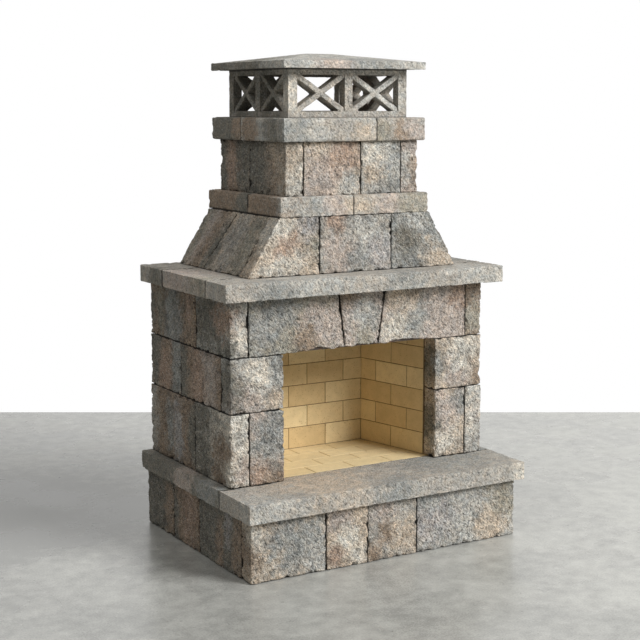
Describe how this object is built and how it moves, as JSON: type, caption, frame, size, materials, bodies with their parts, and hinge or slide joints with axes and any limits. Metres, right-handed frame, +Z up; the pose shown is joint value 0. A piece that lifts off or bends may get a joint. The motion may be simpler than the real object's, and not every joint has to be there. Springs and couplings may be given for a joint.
{
  "type": "outdoor fireplace",
  "caption": "Outdoor masonry fireplace with a raised hearth, splayed firebrick firebox, keystone lintel, mantel, tapered hood, banded chimney, lattice vent and hipped cap.",
  "frame": {"origin": "on the ground, at the middle of the hearth slabs in plan", "axes": "+X to the right along the front, +Y from the front to the back, +Z up"},
  "size_m": [1.6356, 1.2488, 2.51],
  "materials": {
    "block_stone": "split face, mottled tan, rose brown and blue grey",
    "slab_stone": "hammered, worn edges",
    "vent_stone": "cast, grainy",
    "firebrick": "matt, pale yellow",
    "core_concrete": "rough cast",
    "steel": "rolled, dark",
    "flue_clay": "matt"
  },
  "bodies": {
    "root": {"plinth_core": "core_concrete", "plinth_front_block_1": "block_stone", "plinth_front_block_2": "block_stone", "plinth_front_block_3": "block_stone", "plinth_front_block_4": "block_stone", "plinth_left_block_1": "block_stone", "plinth_left_block_2": "block_stone", "plinth_left_block_3": "block_stone", "plinth_rear_blocks": "block_stone", "plinth_right_blocks": "block_stone", "hearth_front_slab": "slab_stone", "hearth_left_slab": "slab_stone", "hearth_rear_slab": "slab_stone", "hearth_right_slab": "slab_stone", "lower_left_pier_block": "block_stone", "lower_left_side_front_block": "block_stone", "lower_left_side_rear_block": "block_stone", "lower_right_pier_block": "block_stone", "middle_left_pier_block": "block_stone", "middle_left_side_front_block": "block_stone", "middle_left_side_rear_block": "block_stone", "middle_right_pier_block": "block_stone", "upper_left_side_front_block": "block_stone", "upper_left_side_rear_block": "block_stone", "lintel_bar": "steel", "lintel_left_stone": "block_stone", "lintel_right_stone": "block_stone", "keystone": "block_stone", "wall_rear_blocks": "block_stone", "wall_right_blocks": "block_stone", "firebox_back_wall": "firebrick", "firebox_floor": "firebrick", "firebox_left_wall": "firebrick", "firebox_right_wall": "firebrick", "smoke_chamber": "core_concrete", "flue_liner": "flue_clay", "mantel_front_slab": "slab_stone", "mantel_middle_slab": "slab_stone", "mantel_rear_slab": "slab_stone", "hood_front_left_block": "block_stone", "hood_front_middle_block": "block_stone", "hood_front_right_block": "block_stone", "hood_left_front_block": "block_stone", "hood_left_rear_block": "block_stone", "hood_rear_blocks": "block_stone", "hood_right_blocks": "block_stone", "band_front_left_slab": "slab_stone", "band_front_right_slab": "slab_stone", "band_rear_slab": "slab_stone", "chimney_front_left_block": "block_stone", "chimney_front_right_block": "block_stone", "chimney_left_front_block": "block_stone", "chimney_left_rear_block": "block_stone", "chimney_rear_blocks": "block_stone", "chimney_right_blocks": "block_stone", "crown_front_left_slab": "slab_stone", "crown_front_right_slab": "slab_stone", "crown_rear_slab": "slab_stone", "lattice_vent": "vent_stone", "cap": "vent_stone"}
  },
  "joints": []
}
